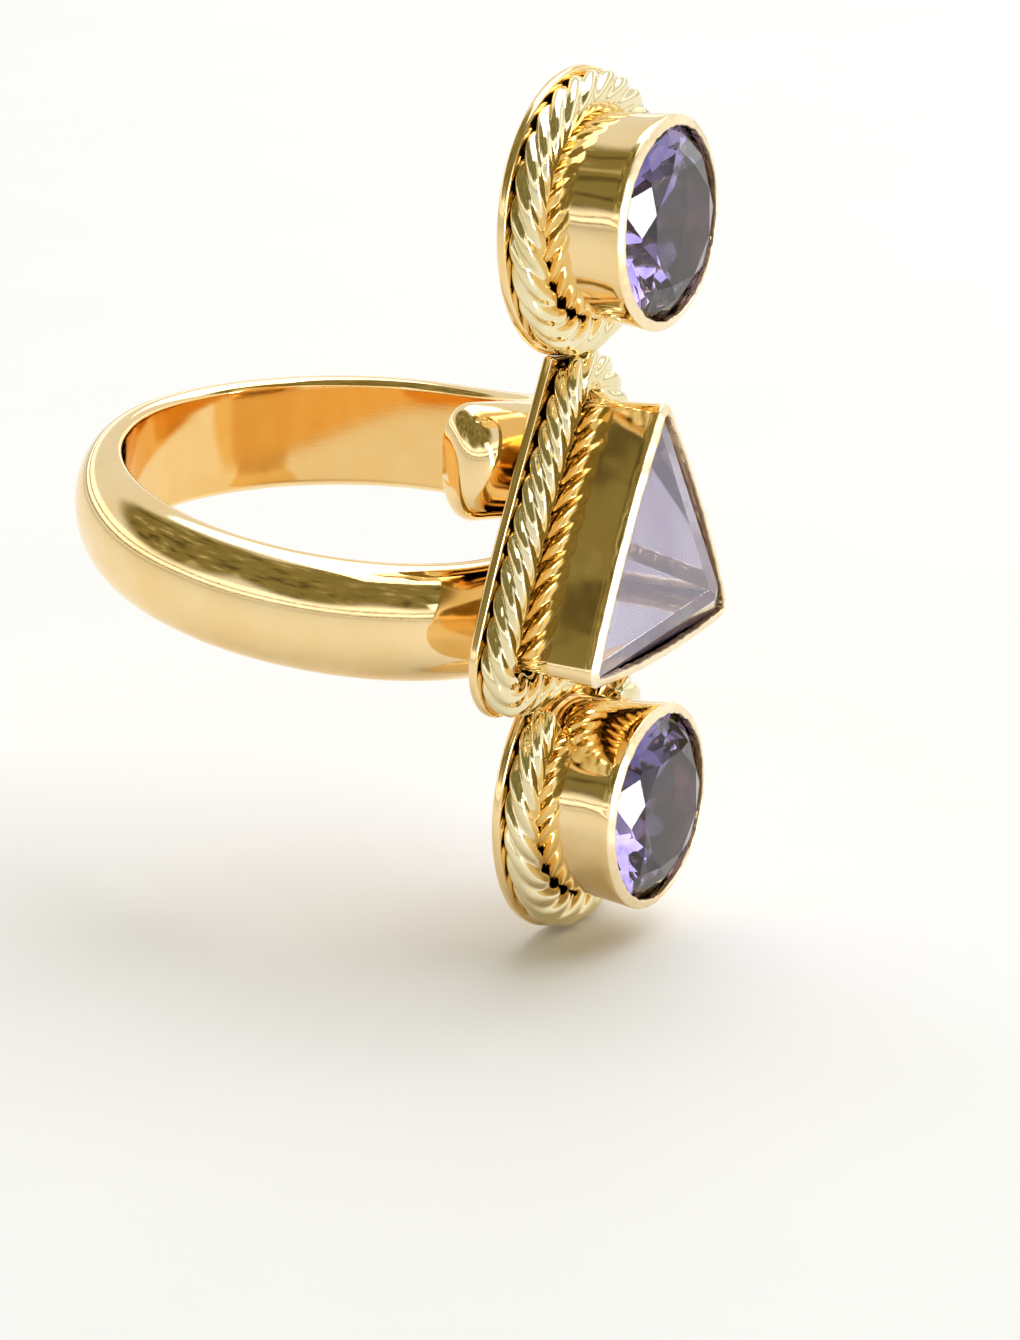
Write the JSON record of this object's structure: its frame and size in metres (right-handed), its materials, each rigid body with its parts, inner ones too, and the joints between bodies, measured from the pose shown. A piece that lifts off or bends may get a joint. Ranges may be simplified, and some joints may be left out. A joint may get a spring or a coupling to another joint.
{
  "type": "cocktail ring",
  "caption": "Statement finger ring: a row of bezel-set faceted stones with rope borders on an open bypass band.",
  "frame": {"origin": "centre of the finger bore, midway between the heights of the band's two arms", "axes": "+X from the finger to the head, +Z along the finger and the row of stones, +Y across the finger"},
  "size_m": [0.0287, 0.0218, 0.0359],
  "materials": {
    "gold": "polished",
    "amethyst": "faceted and polished",
    "pale_amethyst": "faceted and polished"
  },
  "bodies": {
    "root": {"shank": "gold", "top_backplate": "gold", "top_bezel": "gold", "top_bearing": "gold", "top_rope": "gold", "centre_backplate": "gold", "centre_bezel": "gold", "centre_bearing": "gold", "centre_rope": "gold", "bottom_backplate": "gold", "bottom_bezel": "gold", "bottom_bearing": "gold", "bottom_rope": "gold", "top_stone": "amethyst", "bottom_stone": "amethyst", "centre_stone": "pale_amethyst"}
  },
  "joints": []
}
